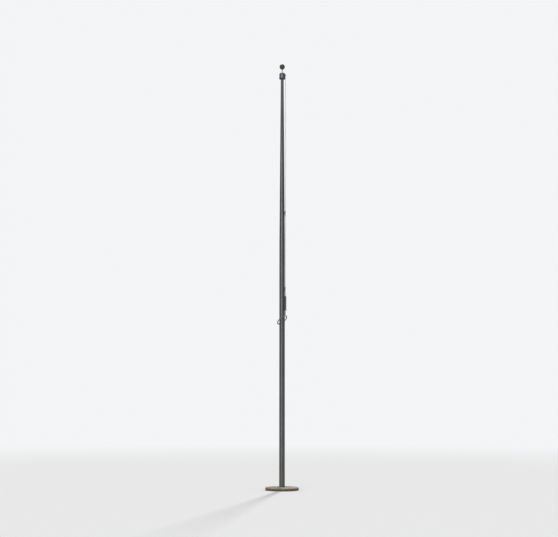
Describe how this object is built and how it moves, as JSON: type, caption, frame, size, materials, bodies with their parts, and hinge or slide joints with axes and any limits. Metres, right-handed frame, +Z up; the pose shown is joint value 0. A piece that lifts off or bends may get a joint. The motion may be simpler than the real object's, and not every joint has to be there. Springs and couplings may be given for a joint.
{
  "type": "flagpole",
  "caption": "Tapered aluminium flagpole in a round concrete footing, with a ball finial, revolving hooded truck and a counterweighted flag line.",
  "frame": {"origin": "centre of the footing's flat underside, at ground level", "axes": "+Z up along the shaft; the hand-hole faces +Y; the flag line hangs 32 degrees from +X towards -Y"},
  "size_m": [0.6, 0.6, 7.9623],
  "materials": {
    "concrete": "trowelled concrete, worn at the edge",
    "galvanised": "hot-dip galvanised",
    "sand": "packed dry sand",
    "sealant": "matt mastic",
    "shaft_aluminium": "satin, ground round the shaft, weathered dark",
    "cast_aluminium": "as cast",
    "spun_aluminium": "spun, weathered",
    "ball_finish": "spun and satin, dark",
    "dark_steel": "stainless, weathered dark",
    "steel": "stainless, machined",
    "snap_metal": "plated bronze, worn",
    "bronze": "bearing bronze",
    "rope": "solid braid, weathered white",
    "vinyl": "dipped vinyl",
    "cable": "coated wire cable",
    "bead_nylon": "moulded grey nylon"
  },
  "bodies": {
    "pole": {"footing": "concrete", "ground_sleeve": "galvanised", "sand_fill": "sand", "weather_seal": "sealant", "shaft": "shaft_aluminium", "door_frame": "shaft_aluminium", "access_door": "shaft_aluminium", "door_lock": "steel", "cleat_bracket": "cast_aluminium", "cleat_jaws": "steel", "stopper_knot": "rope", "halyard_inner": "rope", "truck_stem": "cast_aluminium", "stem_screws": "steel", "thrust_washer": "bronze", "retaining_clip": "steel"},
    "truck": {"truck_yoke": "cast_aluminium", "sheave": "cast_aluminium", "sheave_axle": "steel", "halyard_turn": "rope", "hood": "spun_aluminium", "finial_spindle": "dark_steel", "spindle_nut": "dark_steel", "ball_boss": "ball_finish", "ball": "ball_finish", "halyard_outer": "rope"},
    "flag_line": {"upper_knot": "rope", "lower_knot": "rope", "weight_knot": "rope", "hoist_rope": "rope", "upper_snap_eye": "snap_metal", "upper_snap_hook": "snap_metal", "upper_snap_gate": "steel", "lower_snap_eye": "snap_metal", "lower_snap_hook": "snap_metal", "lower_snap_gate": "steel", "counterweight": "vinyl", "weight_core": "steel", "weight_eyes": "steel", "ring_snap_eye": "snap_metal", "ring_snap_hook": "snap_metal", "ring_snap_gate": "steel", "retainer_cable": "cable", "cable_ferrule": "snap_metal", "retainer_beads": "bead_nylon"}
  },
  "joints": [
    {"name": "truck_swivel", "type": "hinge", "parent": "pole", "child": "truck", "pos_m": [0, 0, 7.672], "axis": [0, 0, 1], "continuous": true},
    {"name": "hoist", "type": "slide", "parent": "truck", "child": "flag_line", "axis": [0, 0, 1], "range_m": [-2.8, 2.3], "deforming": ["halyard_outer"]}
  ]
}
